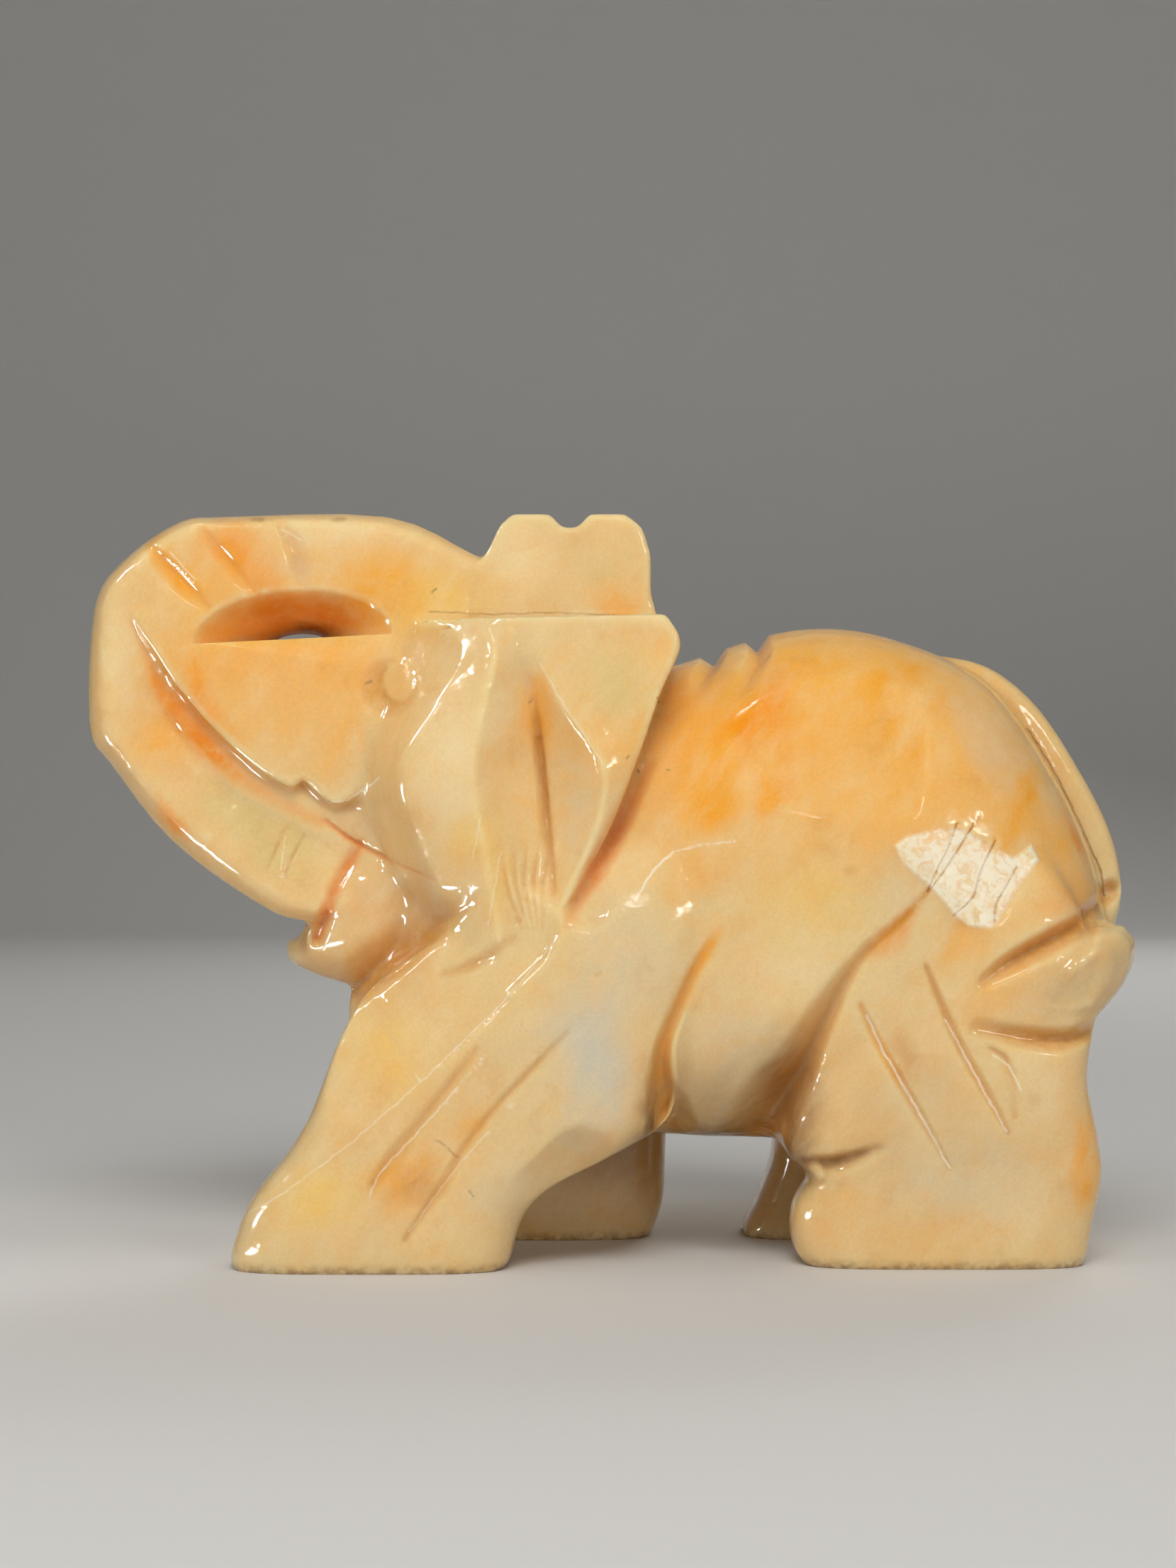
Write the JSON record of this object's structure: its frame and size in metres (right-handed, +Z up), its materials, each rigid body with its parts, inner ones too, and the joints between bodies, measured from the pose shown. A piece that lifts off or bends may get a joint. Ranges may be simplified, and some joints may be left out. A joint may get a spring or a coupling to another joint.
{
  "type": "carved stone elephant figurine",
  "caption": "Small standing elephant carved from one piece of polished honey-and-cream stone, trunk curled up on to the forehead.",
  "frame": {"origin": "on the standing surface, under the centre of the carving's box", "axes": "+Z up, the elephant faces -X, its left flank is towards -Y"},
  "size_m": [0.0498, 0.0206, 0.0354],
  "materials": {
    "stone": "high polish, slightly translucent, cream to honey and orange"
  },
  "bodies": {
    "root": {"elephant_carving": "stone"}
  },
  "joints": []
}
